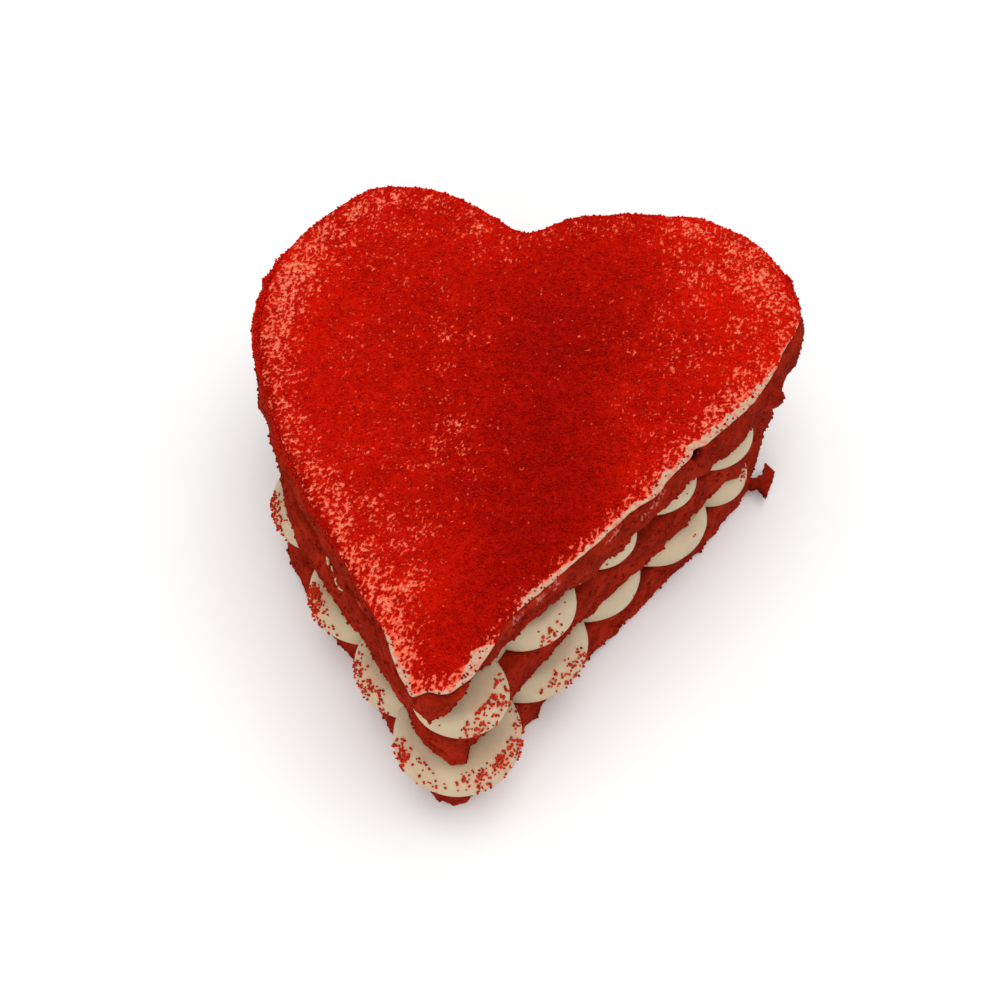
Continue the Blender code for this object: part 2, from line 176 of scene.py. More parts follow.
# The strip of smooth cream along the edge: share of the way round, and how many mm wide, below
# nought where there is none
CREAM_STRIP = metres(
    1,
    (0, 1), (0.008, 1.4), (0.018, 3.6), (0.024, 4.6), (0.029, 2), (0.033, -1.2), (0.046, -0.6),
    (0.054, 1.1), (0.06, 2), (0.066, 2.1), (0.073, 1.4), (0.085, 1.2), (0.095, 0.8), (0.112, 0.9),
    (0.122, 1.4), (0.154, 1.5), (0.16, 3), (0.17, 3), (0.176, 1.6), (0.183, 1.6), (0.19, 2.7),
    (0.235, 2.6), (0.25, 1.8), (0.27, 0.7), (0.3, 0), (0.32, -1.5), (0.36, -3), (0.9, -3),
    (0.935, -1.2), (0.95, 0.1), (0.962, 1.5), (0.973, 2.3), (0.981, 1.7), (0.987, 0.4), (1, 1),
)
# How bright the crumbs are painted, partly for how thickly they lie and partly as painted light and shade:
# x, y and how far, in mm from the heart's point, and how much above or below the usual
TONES_AND_PAINTED_LIGHT = (
    (20, 45, 24, -0.3), (21, 100, 34, -0.42), (20, 150, 32, -0.38), (-65, 140, 22, 0.25),
    (-53, 197, 20, 0.15), (84, 175, 25, 0.4), (-22, 45, 12, 0.12), (-54, 90, 18, 0.14),
    (93, 141, 9, 0.35), (97, 152, 6, 0.3), (64, 171, 8, 0.2), (-1, 57, 9, 0.18), (-10, 36, 9, 0.2),
    (52, 92, 12, 0.25), (62, 207, 14, 0.4), (-80, 172, 14, 0.3), (-37, 145, 14, -0.16),
    (12, 22, 4.5, -0.6), (0, 15, 14, -0.12), (42, 118, 20, 0.2), (75, 138, 9, 0.2),
    (14, 66, 25, -0.2), (-17, 191, 12, 0.2), (-57, 140, 15, -0.1), (-22, 112, 12, -0.1),
)
# Where the lip stands out or draws back: share of the way round, and in mm how far out and how far
# along the edge
LIP_NUDGES = metres(
    1,
    (0.006, -1, 4), (0.0235, -1.1, 4.5), (0.034, 1.3, 2.2), (0.155, 0.6, 4), (0.1925, -1.7, 2.1),
    (0.282, -1.2, 7), (0.326, -1.8, 9), (0.9825, 1.3, 2.2), (0.9905, -1.3, 3.2), (0.9985, -1.2, 5),
)
# Hollows and teeth torn in the side, in mm: x, y, z, how wide, and how deep or, below nought, how
# proud
DENTS = (
    (64.7, -3, 77, 2.4, 5), (-96.8, 55, 78.6, 1.5, -4.2), (-88.6, 0.8, 74, 1.5, -3.6),
    (97, 71, 76, 9, 2.2), (98.5, 50, 73, 7, 1.6), (91.3, 29.6, 71, 5.5, -3),
    (-1.5, -103.5, 70, 4.5, 1.8),
)
HOLLOW_SHADE = 1.6  # how much painted shade the hollows get for their steepness, and how much of that doesn't show
HOLLOW_LEAST = 0.25
# Cream rubbed into the sponges' sides: x, y, z in mm, how far along, and how much
SMEARS = (
    (53.5, -19, 76.2, 3.2, 0.8), (51.2, -23, 74.4, 2.8, 0.9), (48.5, -26.5, 72.3, 2.4, 0.9),
    (49.5, -25, 69, 1.8, 0.6), (40.4, -37.3, 77, 3, 0.9), (38, -40.5, 76.6, 2.6, 0.8),
    (59.6, -10.9, 72, 2.5, 0.45), (12.1, -74.6, 76.8, 3.4, 0.95), (18.3, -65.9, 77.3, 3.4, 0.9),
    (22.4, -60.7, 77.2, 3, 0.8), (30, -50, 64, 1.6, 0.5), (-39, -70, 68, 2.5, 0.45),
)
# Where crumbs have fallen on the mounds: x, y and how far they spread, in mm, and how many
LOWER_FALLS = (
    (-21.8, -101.4, 1.8, 22), (-20.8, -103.7, 1.8, 20), (-23.7, -98.5, 1.4, 10),
    (-21.8, -104.3, 2.5, 10), (-14.6, -104.2, 1, 4), (-16, -108.2, 2.5, 7), (-11.7, -108.2, 0.7, 2),
    (-9, -111, 3, 8), (-1.2, -110.2, 1.3, 7), (0.9, -108.6, 1.6, 9), (4.1, -108.2, 2, 20),
    (6.5, -106.3, 1.6, 14), (9.9, -102.7, 1.8, 22), (11.2, -100, 1.8, 22), (13.7, -96.3, 2.2, 22),
    (15.1, -91.7, 2, 16), (15.1, -86.4, 2.2, 14), (13.2, -82.5, 2.2, 7), (3, -102, 4, 5),
    (32.1, -59.1, 1.6, 14), (33.7, -56.5, 1.5, 10), (30.4, -62.5, 1.6, 10), (29.7, -65.1, 1.6, 9),
    (28.5, -67.2, 1.2, 7), (25.1, -67.7, 1.3, 9), (23.6, -69.9, 1.3, 7), (20.6, -72.7, 0.8, 3),
    (27.1, -61.8, 1.6, 3), (68.5, -2.8, 0.8, 2), (83.5, 27.5, 1.7, 26), (84.8, 31, 1.4, 12),
    (-43.2, -71.7, 2.2, 14), (-40.9, -74.5, 2, 16), (-38, -78.8, 2.2, 20), (-36.3, -80.4, 1.8, 12),
    (-33.2, -82.3, 1.4, 14), (-32.9, -87.6, 1.8, 8), (-46, -66, 2.5, 6), (-64.6, -44.1, 1.8, 40),
    (-62.5, -47.1, 1.9, 60), (-60.6, -51, 2, 36), (-56.8, -58.7, 3, 10), (-60, -54, 4, 8),
    (-88, -7, 2.6, 34), (-86, -12, 2.6, 34), (-84.5, -17.5, 2.6, 26),
)
UPPER_FALLS = (
    (3, -97.8, 1.4, 10), (5.6, -96.1, 1.2, 12), (5.5, -93.3, 1.1, 10), (8.9, -95.1, 1.4, 12),
    (10.8, -93, 1.3, 9), (0.5, -105, 1.1, 9), (2.7, -104.5, 1.1, 8), (4.1, -103.6, 1, 7),
    (4.8, -101.8, 1.4, 7), (3.2, -99.5, 1.3, 6), (8.1, -98.5, 1.8, 7), (7.2, -101.3, 1.8, 5),
    (6.4, -85.7, 1.6, 3), (4.7, -89.5, 1.4, 4), (9, -89, 1.6, 4), (10.7, -89.7, 1, 3),
    (8, -93.3, 1.6, 6), (0.6, -103, 0.6, 2), (20.5, -69.7, 0.9, 4), (21.6, -68.5, 0.9, 5),
    (22.4, -67, 1, 8), (24.4, -64.5, 1, 4), (18.7, -68.8, 0.5, 1), (23.9, -60.6, 0.5, 1),
)
STRAY_FALL = (0, 0, 300, 24)  # a few more anywhere on the row
STAIN_CROWD = 14  # crumbs for each mm of spread that stain the cream all over
STAIN_REACH = 1.2  # how far a stain goes, for each mm that its crumbs spread


def heading(degrees):
    return Vector((math.cos(math.radians(degrees)), math.sin(math.radians(degrees))))


def heart_curve():
    """Close-set points along the heart's edge, anticlockwise from its point."""
    points = []
    for here, after in zip(HEART_KNOTS, HEART_KNOTS[1:] + HEART_KNOTS[:1]):
        start, end = Vector(here[:2]), Vector(after[:2])
        leaving = start + heading(here[2]) * here[4]
        arriving = end - heading(after[2]) * after[3]
        bend = [knot.to_3d() for knot in (start, leaving, arriving, end)]
        points += interpolate_bezier(*bend, CURVE_STEPS)[:-1]
    return [POINT_AT + point.to_2d() * MM for point in points]


def heart_loop(count):
    """Evenly spaced (place, outward direction) round the heart, and the edge's length."""
    curve = heart_curve()
    curve.append(curve[0])
    travelled = [0.0]
    for before, after in zip(curve, curve[1:]):
        travelled.append(travelled[-1] + (after - before).length)
    loop, edge = [], 0
    for number in range(count):
        wanted = travelled[-1] * number / count
        while travelled[edge + 1] < wanted:
            edge += 1
        along = curve[edge + 1] - curve[edge]
        part = (wanted - travelled[edge]) / along.length
        outward = Vector((along.y, -along.x)).normalized()
        loop.append((curve[edge] + along * part, outward))
    return loop, travelled[-1]


def along_edge(table, share):
    """The table's values at this share of the way round, each row starting with its own share."""
    for before, after in zip(table, table[1:]):
        if before[0] <= share <= after[0]:
            part = (share - before[0]) / (after[0] - before[0])
            return [early + (late - early) * part for early, late in zip(before[1:], after[1:])]
    raise RuntimeError(f"share {share} is not in the table")


def heart_spokes(count):
    """Lines from the core to evenly spaced places on the heart's edge."""
    return [place - HEART_CORE for place, _ in heart_loop(count)[0]]


def directions(places, first):
    """Which way each place lies from the core, as an angle that is at least `first`."""
    offsets = places[:, :2] - np.array(HEART_CORE)
    return (np.arctan2(offsets[:, 1], offsets[:, 0]) - first) % math.tau + first


def shares_at(places):
    """How far round the heart from its point each place is, as seen from its core."""
    spokes = np.array(heart_spokes(SHARE_COLUMNS))
    turned = np.unwrap(np.arctan2(spokes[:, 1], spokes[:, 0]))
    return np.interp(directions(places, turned[0]), turned, np.arange(SHARE_COLUMNS) / SHARE_COLUMNS)


def rough(place, size, shift=(0, 0, 0)):
    """Smooth noise between -1 and 1, with lumps about this many mm wide."""
    return noise.noise(place / (size * MM) + Vector(shift))


def fading(place, x, y, size):
    """1 at this spot of the top, in mm from the heart's point, and fading with distance from it."""
    away = (place.to_2d() - POINT_AT - Vector((x, y)) * MM).length / (size * MM)
    return math.exp(-away * away)


def limited(value, most=1.0):
    """The value, kept from nought to the most."""
    return min(most, max(0.0, value))


def ring_at(outline, z, less=0.0):
    """A ring of places at this height, from (direction from the core, distance) round the cake."""
    return [(*(HEART_CORE + away * (far - less)), z) for away, far in outline]


def dented(place):
    """How far the hollows push this place of the side in."""
    pushed = 0.0
    for x, y, z, width, depth in DENTS:
        away = (place - Vector((x, y, z)) * MM).length / (width * MM)
        pushed += depth * MM * math.exp(-away * away)
    return pushed


def hollow_shade_at(place):
    """How much painted shade the hollows give this place, the same all the way in from the side."""
    most = 0.0
    for x, y, z, width, depth in DENTS:
        aim = Vector((x, y)) * MM - HEART_CORE
        spoke = place.to_2d() - HEART_CORE
        if spoke.dot(aim) > 0:
            away = math.hypot(spoke.cross(aim.normalized()), place.z - z * MM) / (width * MM)
            most = max(most, HOLLOW_SHADE * depth / width * math.exp(-away * away) - HOLLOW_LEAST)
    return min(1.0, most)


def count_property(name, description, default, **limits):
    return IntProperty(name=name, description=description, default=default, **limits)


def length_property(name, description, default):
    return FloatProperty(name=name, description=description, default=default, unit="LENGTH")


def colour_property(name, description, default):
    return FloatVectorProperty(name=name, description=description, default=default, subtype="COLOR")


class CakeSizes(PropertyGroup):
    sponge_columns: count_property("Sponge columns", "Points round each sponge's torn side", 1200, min=100)
    row_height: length_property("Row height", "Height of one row of points on a sponge's side", 0.6 * MM)
    torn_depth: length_property("Torn depth", "How rough the torn crumb of the sponges is", 0.45 * MM)
    top_grain: length_property("Top grain", "Spacing of the points on the bed of crumbs on top", 0.56 * MM)
    fine_crumbs: count_property("Fine crumbs", "How many fine crumbs lie on top", 16000)
    small_crumbs: count_property("Small crumbs", "How many small crumbs lie on top", 16000)
    medium_crumbs: count_property("Medium crumbs", "How many middling crumbs lie on top", 6000)
    rim_crumbs: count_property("Rim crumbs", "How many crumbs run over the edge of the top", 8000)
    side_crumbs: count_property("Side crumbs", "How many crumbs cling to the sponges' sides", 3600)
    mound_crumbs: FloatProperty(
        name="Mound crumbs",
        description="Share of the usual number of crumbs that have fallen on the piped mounds",
        default=1.2,
        min=0.1,
    )


class CakeColours(PropertyGroup):
    sponge_dark: colour_property(
        "Sponge, in its pores", "Colour of the sponge where it is torn open", (0.11, 0.003, 0.001)
    )
    sponge: colour_property("Sponge", "Colour of the sponge's cut sides", (0.24, 0.0104, 0.0026))
    crumb_dark: colour_property(
        "Crumb, darkest", "Colour of the darkest crumbs on top", (0.27, 0.0024, 0.0005)
    )
    crumb: colour_property(
        "Crumb, brightest", "Colour of the brightest crumbs on top", (0.57, 0.0068, 0.001)
    )
    cream: colour_property("Cream", "Colour of the piped and spread cream", (0.455, 0.354, 0.224))
    # The fleck is the cream tinted by crumbs, and partly painted red light bounced off the crumbs around it
    fleck: colour_property(
        "Fleck", "Colour of the cream that shows between the crumbs, tinted by them", (0.64, 0.25, 0.16)
    )
    strip: colour_property(
        "Strip", "Colour of the cream along the top's edge, tinted by the crumbs", (0.44, 0.31, 0.215)
    )
    floor: colour_property("Floor", "Colour of the floor under the cake", (0.8, 0.79, 0.78))


def sizes():
    return bpy.context.scene.cake_sizes


def colours():
    return bpy.context.scene.cake_colours


# Materials

SMEAR_COLOUR = (0.48, 0.135, 0.105)  # cream rubbed into the sponge
STAIN_COLOUR = (0.58, 0.15, 0.07)  # cream under fallen crumbs
STRIP_TINT = (0.5, 0.19, 0.13)  # the reddest of the cream along the top's edge
FALLEN_COLOURS = ((0.25, 0.01, 0.003), (0.62, 0.035, 0.01))  # darkest and brightest fallen crumb
# Colours of a fleck of cream as crumbs close over it
FLECK_TINTS = ((0.45, (0.66, 0.16, 0.09)), (0.6, (0.62, 0.088, 0.044)), (0.75, (0.55, 0.03, 0.01)))


def blank_material(name, roughness, shine=0.5):
    made = bpy.data.materials.new(name)
    made.use_nodes = True
    shader = made.node_tree.nodes["Principled BSDF"]
    shader.inputs["Roughness"].default_value = roughness
    shader.inputs["Specular IOR Level"].default_value = shine
    return made, made.node_tree, shader


def object_noise(tree, size, detail=3.0):
    """Noise of this size, in metres, on the object's own coordinates."""
    places = tree.nodes.new("ShaderNodeTexCoord")
    pattern = tree.nodes.new("ShaderNodeTexNoise")
    pattern.inputs["Scale"].default_value = 1 / size
    pattern.inputs["Detail"].default_value = detail
    tree.links.new(places.outputs["Object"], pattern.inputs["Vector"])
    return pattern.outputs["Fac"]


def ramp(tree, value, *stops):
    """Colours by value: each stop is (position, colour)."""
    node = tree.nodes.new("ShaderNodeValToRGB")
    elements = node.color_ramp.elements
    while len(elements) < len(stops):
        elements.new(1.0)
    for element, (position, colour) in zip(elements, stops):
        element.position = position
        element.color = (*colour, 1)
    tree.links.new(value, node.inputs["Fac"])
    return node.outputs["Color"]


def feed(tree, socket, value):
    """Links another node's output to the socket, or sets the socket to a plain number or colour."""
    if isinstance(value, NodeSocket):
        tree.links.new(value, socket)
    else:
        socket.default_value = (*value, 1) if socket.type == "RGBA" else value


def mixed(tree, share, first, second, blend="MIX"):
    """Two colours mixed by share."""
    node = tree.nodes.new("ShaderNodeMix")
    node.data_type = "RGBA"
    node.blend_type = blend
    for name, value in (("Factor", share), ("A", first), ("B", second)):
        feed(tree, node.inputs[name], value)
    return node.outputs["Result"]


def computed(tree, operation, *values):
    """What a Math node makes of the values."""
    node = tree.nodes.new("ShaderNodeMath")
    node.operation = operation
    for socket, value in zip(node.inputs, values):
        feed(tree, socket, value)
    return node.outputs["Value"]


def painted(tree, name):
    """A value that the piece carries on its own points."""
    node = tree.nodes.new("ShaderNodeAttribute")
    node.attribute_name = name
    return node.outputs["Fac"]


def bumped(tree, shader, height, depth, strength):
    node = tree.nodes.new("ShaderNodeBump")
    node.inputs["Distance"].default_value = depth
    node.inputs["Strength"].default_value = strength
    tree.links.new(height, node.inputs["Height"])
    tree.links.new(node.outputs["Normal"], shader.inputs["Normal"])


def scaled(colour, factor):
    return tuple(channel * factor for channel in colour)


def grey(value):
    return (value, value, value)


def sponge_material():
    """Dark red torn crumb: darker in its pores, with painted shade in the torn hollows, and cream rubbed
    into it where `smear` says.
    """
    made, tree, shader = blank_material("Torn sponge", 0.9, 0.03)
    look = colours()
    grain = object_noise(tree, 1.4 * MM, 4)
    torn = ramp(tree, grain, (0.2, look.sponge_dark), (0.42, look.sponge), (0.8, scaled(look.sponge, 1.25)))
    broad = ramp(tree, object_noise(tree, 9 * MM, 5), (0.3, (0.55, 0.5, 0.6)), (0.65, (1.16, 1.25, 1.25)))
    tint = mixed(tree, 1, torn, broad, "MULTIPLY")
    broken = computed(tree, "MULTIPLY_ADD", object_noise(tree, 1.1 * MM), 0.8, painted(tree, "smear"))
    film = ramp(tree, broken, (0.68, grey(0)), (0.85, grey(0.8)))
    # Painted shade: the torn hollows darken the sponge towards its darkest colour
    hollow_shaded = mixed(tree, painted(tree, "hollow_shade"), tint, scaled(look.sponge_dark, 0.3))
    feed(tree, shader.inputs["Base Color"], mixed(tree, film, hollow_shaded, SMEAR_COLOUR))
    bumped(tree, shader, object_noise(tree, 0.7 * MM, 4), 0.5 * MM, 0.8)
    return made


def crumb_colour(tree, dark, bright, grain, least, most):
    """Between the two colours by the point's own `shade`, mottled by the grain."""
    own = ramp(tree, painted(tree, "shade"), (0.0, dark), (1.0, bright))
    return mixed(tree, 1, own, ramp(tree, grain, (0.3, grey(least)), (0.7, grey(most))), "MULTIPLY")


def crumb_material(name, dark, bright):
    """Crumbs, each a little darker or brighter by its own `shade`."""
    made, tree, shader = blank_material(name, 0.9, 0.02)
    colour = crumb_colour(tree, dark, bright, object_noise(tree, 0.5 * MM), 0.88, 1.08)
    feed(tree, shader.inputs["Base Color"], colour)
    bumped(tree, shader, object_noise(tree, 0.35 * MM), 0.15 * MM, 0.6)
    return made


def cream_material():
    """Smooth ivory cream with faint streaks, a little light passing through it."""
    made, tree, shader = blank_material("Piped cream", 0.45, 0.35)
    look = colours()
    streaks = object_noise(tree, 9 * MM, 2)
    ivory = ramp(tree, streaks, (0.35, scaled(look.cream, 0.94)), (0.65, scaled(look.cream, 1.05)))
    patchy = computed(tree, "MULTIPLY", painted(tree, "stain"), object_noise(tree, 1.3 * MM, 2))
    feed(tree, shader.inputs["Base Color"], mixed(tree, patchy, ivory, STAIN_COLOUR))
    shader.inputs["Subsurface Weight"].default_value = 0.15
    shader.inputs["Subsurface Radius"].default_value = (1.0, 0.8, 0.5)
    shader.inputs["Subsurface Scale"].default_value = 2 * MM
    bumped(tree, shader, object_noise(tree, 2.5 * MM), 0.12 * MM, 0.5)
    return made


def spread_material():
    """The top: cream, red where its `crumbed` value says that crumbs lie."""
    made, tree, shader = blank_material("Crumbed cream", 0.9, 0.02)
    look = colours()
    # The bed follows each point's shade, which holds painted light and shade as well as the crumbs' own
    # tone
    bed = crumb_colour(tree, look.crumb_dark, look.crumb, object_noise(tree, 0.9 * MM, 4), 0.8, 1.1)
    mottled = computed(tree, "MULTIPLY", object_noise(tree, 0.55 * MM), 0.9)
    covered = computed(tree, "MULTIPLY_ADD", painted(tree, "crumbed"), 0.55, mottled)
    # Bare cream in the fleck colour, partly painted red light bounced off the crumbs
    fleck = ramp(tree, covered, (0.34, look.fleck), *FLECK_TINTS)
    tinted = ramp(tree, object_noise(tree, 1.6 * MM, 2), (0.4, STRIP_TINT), (0.55, look.strip))
    smooth = ramp(tree, painted(tree, "smooth"), (0.4, grey(0)), (0.65, grey(1)))
    over = ramp(tree, covered, (0.68, grey(0)), (0.8, grey(1)))
    feed(tree, shader.inputs["Base Color"], mixed(tree, over, mixed(tree, smooth, fleck, tinted), bed))
    bumped(tree, shader, object_noise(tree, 0.6 * MM, 4), 0.3 * MM, 0.6)
    return made


# Making pieces


def lofted(rings):
    """A closed solid through rings of places, each ring with as many places as the last."""
    mesh = bmesh.new()
    first = [mesh.verts.new(place) for place in rings[0]]
    cap = mesh.faces.new(first)
    for ring in rings[1:]:
        cap = bmesh.ops.extrude_discrete_faces(mesh, faces=[cap])["faces"][0]
        for corner, place in zip(cap.verts, ring):
            corner.co = place
    mesh.faces.new(list(reversed(first)))
    return mesh


def mesh_data(mesh, name):
    """Mesh data of the bmesh, which is freed."""
    data = bpy.data.meshes.new(name)
    mesh.to_mesh(data)
    mesh.free()
    return data


def piece_from(mesh, name, finish):
    """An object of the bmesh, whose place is in its mesh."""
    return piece_of(mesh_data(mesh, name), name, finish)


def piece_of(data, name, finish, smooth=True):
    """An object of the mesh data in this finish."""
    if smooth:
        data.shade_smooth()
    data.materials.clear()
    data.materials.append(finish)
    return placed(name, data)


def placed(name, data):
    """A new object of the data, in the scene."""
    made = bpy.data.objects.new(name, data)
    bpy.context.scene.collection.objects.link(made)
    return made


def values_of(items, name, width, kind=float):
    """What every item has under this name, one row of the array for each."""
    values = np.empty(len(items) * width, kind)
    items.foreach_get(name, values)
    return values.reshape(-1, width)


def paint(piece, name, values):
    """Gives each of the piece's points a value that its material reads."""
    values = np.asarray(values, np.float32)
    piece.data.attributes.new(name, "FLOAT", "POINT").data.foreach_set("value", values)


def dress(piece, slot, *nodes):
    """The piece rides on the cake, and stands for these solids of the frame."""
    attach(piece, "root")
    if nodes:
        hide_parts(*nodes)


def solid_of(node):
    """The node's solid, for measuring where its surface is."""
    data = frame["nodes"][node].data
    return BVHTree.FromPolygons([v.co for v in data.vertices], [p.vertices for p in data.polygons])


def reach(solid, away, z):
    """How far the solid reaches from the heart's core at this height, in the direction `away`."""
    start = (*(HEART_CORE + away * CORE_CLEAR * MM), z)
    _, _, _, distance = solid.ray_cast(start, (away.x, away.y, 0))
    if distance is None:
        raise RuntimeError(f"no solid at height {z:.4f}")
    return CORE_CLEAR * MM + distance


def span(node):
    """Heights of the node's underside and top."""
    low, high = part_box(node)
    return low.z, high.z


def remove(*objects):
    """Deletes objects that only helped to make a piece."""
    for each in objects:
        bpy.data.objects.remove(each)


# Sponges

CAP_RINGS = (0.985, 0.96, 0.93, 0.89, 0.84)  # shares of the way from the core to the edge
EDGE_GAP = 0.05 * MM  # keeps measuring inside the solid's height
WORN_HEIGHT = 1.3 * MM  # how near its two edges a sponge's side is worn back, and how far
WORN_DEPTH = 0.9 * MM
FLAKE_CUTS = 7


def eased(values, spread):
    """Values round a closed loop, each averaged with its neighbours."""
    far = 3 * spread
    weights = np.exp(-0.5 * (np.arange(-far, far + 1) / spread) ** 2)
    wrapped = np.concatenate([values[-far:], values, values[:far]])
    return np.convolve(wrapped, weights / weights.sum(), "valid")


def lip_outline():
    """(direction from the core, distance) round the lip of the top cream, its corners eased."""
    solid = solid_of("cream_top")
    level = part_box("cream_top")[0].z + LIP_WIDEST
    loop, edge_length = heart_loop(LIP_COLUMNS)
    spokes = [place - HEART_CORE for place, _ in loop]
    aways = [spoke.normalized() for spoke in spokes]
    past = [reach(solid, away, level) - spoke.length for away, spoke in zip(aways, spokes)]
    outline = []
    for number, (away, spoke, more) in enumerate(zip(aways, spokes, eased(np.array(past), 3))):
        far = spoke.length + more
        for share, nudge, width in LIP_NUDGES:
            turn = (number / len(aways) - share + 0.5) % 1 - 0.5
            far += nudge * math.exp(-((turn * edge_length / width) ** 2))
        far += LIP_WAVER * rough((HEART_CORE + away * far).to_3d(), 3.5)
        outline.append((away, far))
    return outline


def past_lip(places):
    """How far past the lip of the top cream each place is, as seen from the heart's core."""
    aways, fars = zip(*lip_outline())
    angles = np.unwrap([math.atan2(away.y, away.x) for away in aways])
    offsets = places[:, :2] - np.array(HEART_CORE)
    return np.hypot(*offsets.T) - np.interp(directions(places, angles[0]), angles, fars)


def torn(place, depth):
    """How far torn crumb stands out, or in, at this place on a sponge's side."""
    lump = rough(place, 5)
    crumb = rough(place, 2.1, (7, 3, 5))
    grain = rough(place, 1.0, (1, 9, 4))
    pore = max(0.0, rough(place, 3.2, (4, 4, 8)) - 0.22)
    return depth * (0.9 * lump + 0.9 * crumb + 0.55 * grain - 2.5 * pore)


def smear_at(place):
    """How much cream is rubbed into the sponge here, from none to all."""
    most = 0.0
    for x, y, z, width, amount in SMEARS:
        offset = place - Vector((x, y, z)) * MM
        away = math.hypot(offset.x, offset.y, offset.z * 1.6) / (width * MM)
        most = max(most, amount * math.exp(-away * away))
    if most < 0.02:
        return 0.0
    streak = rough(Vector((place.x + place.y, place.z * 2, 0)), 1.8)
    return limited(most * (0.55 + 0.8 * streak), 0.5)


def sponge_side(name, node, finish):
    """One sponge: its solid's outline with finely torn crumb on the side and worn edges."""
    solid = solid_of(node)
    low, high = span(node)
    height = high - low
    size = sizes()
    aways = [spoke.normalized() for spoke in heart_spokes(size.sponge_columns)]
    rows = round(height / size.row_height)

    def ring(row, share=1.0):
        z = low + height * row / rows
        inside = min(max(z, low + EDGE_GAP), high - EDGE_GAP)
        places = []
        for away in aways:
            far = reach(solid, away, inside)
            spot = (HEART_CORE + away * far).to_3d() + Vector((0, 0, z))
            edge = max(0.0, 1 - min(z - low, high - z) / WORN_HEIGHT)
            worn = WORN_DEPTH * edge * edge
            spot += (away * (torn(spot, size.torn_depth) - worn - dented(spot))).to_3d()
            if share < 1:
                flat = HEART_CORE.to_3d() + Vector((0, 0, z))
                spot = flat + (spot - flat) * share
            places.append(spot)
        return places

    rings = [ring(0, share) for share in reversed(CAP_RINGS)]
    rings += [ring(row) for row in range(rows + 1)]
    rings += [ring(rows, share) for share in CAP_RINGS]
    mesh = lofted(rings)
    smears = [smear_at(corner.co) for corner in mesh.verts]
    # Painted shade for the torn hollows
    hollows = [hollow_shade_at(corner.co) for corner in mesh.verts]
    piece = piece_from(mesh, name, finish)
    paint(piece, "smear", smears)
    paint(piece, "hollow_shade", hollows)
    dress(piece, "sponge", node)


def torn_flake(finish):
    """The flake that hangs out of the bottom sponge, as finely torn as the side."""
    low, high = FLAKE_HEIGHTS
    mesh = lofted([[(*(POINT_AT + Vector(corner) * MM), z) for corner in FLAKE] for z in (low, high)])
    bmesh.ops.triangulate(mesh, faces=mesh.faces)
    bmesh.ops.subdivide_edges(mesh, edges=mesh.edges, cuts=FLAKE_CUTS, use_grid_fill=True)
    bmesh.ops.recalc_face_normals(mesh, faces=mesh.faces)
    mesh.normal_update()
    for corner, normal in [(corner, corner.normal.copy()) for corner in mesh.verts]:
        corner.co += normal * torn(corner.co, sizes().torn_depth)
    count = len(mesh.verts)
    piece = piece_from(mesh, "torn_flake", finish)
    paint(piece, "smear", [0] * count)
    paint(piece, "hollow_shade", [0] * count)
    dress(piece, "sponge")


class CAKE_OT_sponges(Operator):
    """Makes the three torn sponges, and the flake that hangs out of the lowest"""

    bl_idname = "cake.sponges"
    bl_label = "Sponges"

    def execute(self, context):
        finish = sponge_material()
        for layer in ("bottom", "middle", "top"):
            sponge_side(f"{layer}_sponge", f"sponge_{layer}", finish)
        torn_flake(finish)
        return {"FINISHED"}


# Piped cream


def piped_row(point, right, left, rest):
    """(centre, radius) of each mound: from the heart's point along both sides, then evenly behind."""
    loop, edge_length = heart_loop(FINE_LOOP)

    def centre_at(step, width, proud):
        place, outward = loop[step % FINE_LOOP]
        return place - outward * (width / 2 - proud)

    ((x, y, width),) = metres(0, point)
    mounds = [(POINT_AT + Vector((x, y)), width / 2)]
    ends = []
    for way, side in ((1, right), (-1, left)):
        step, centre = 0, mounds[0][0]
        for distance, width, proud in metres(0, *side):
            while (centre_at(step, width, proud) - centre).length < distance:
                step += way
            centre = centre_at(step, width, proud)
            mounds.append((centre, width / 2))
        ends.append(step % FINE_LOOP)
    ((distance, width, proud),) = metres(0, rest)
    behind = (ends[1] - ends[0]) * edge_length / FINE_LOOP
    count = round(behind / distance) - 1
    for number in range(1, count + 1):
        step = round(ends[0] + (ends[1] - ends[0]) * number / (count + 1))
        mounds.append((centre_at(step, width, proud), width / 2))
    return mounds


def tuck(row):
    """How far a mound's side stands in from its widest, at this share of its height."""
    if row < WIDEST:
        return FOOT_TUCK * (1 - row / WIDEST) ** 2
    rise = (row - WIDEST) / (1 - WIDEST)
    return CROWN_TUCK * (1 - math.sqrt(1 - rise * rise))


def mound(centre, radius, low, height, draw):
    """One piped mound, turned about its own centre, a little uneven as piped by hand."""
    mesh = bmesh.new()
    rises = [0.5 - 0.5 * math.cos(math.pi * step / MOUND_ROWS) for step in range(MOUND_ROWS + 1)]
    outline = [(0.0, 0.0), (radius * 0.6, 0.0)]
    outline += [(radius - tuck(rise), height * rise) for rise in rises]
    outline += [(radius * 0.5, height), (0.0, height)]
    corners = [mesh.verts.new((x, 0, low + z)) for x, z in outline]
    edges = [mesh.edges.new(pair) for pair in zip(corners, corners[1:])]
    about = {"axis": (0, 0, 1), "cent": (0, 0, 0), "angle": math.tau}
    bmesh.ops.spin(mesh, geom=corners + edges, steps=MOUND_COLUMNS, use_merge=True, **about)
    bmesh.ops.remove_doubles(mesh, verts=mesh.verts, dist=0.01 * MM)
    bmesh.ops.recalc_face_normals(mesh, faces=mesh.faces)
    shift = Vector((draw.uniform(0, 9), draw.uniform(0, 9), draw.uniform(0, 9)))
    for corner in mesh.verts:
        flat = corner.co.to_2d()
        if flat.length > radius * 0.5:
            swell = MOUND_SWELL * rough(corner.co, 9, shift)
            corner.co += (flat.normalized() * swell).to_3d()
    bmesh.ops.translate(mesh, verts=mesh.verts, vec=centre.to_3d())
    return bpy.data.objects.new("mound", mesh_data(mesh, "mound"))


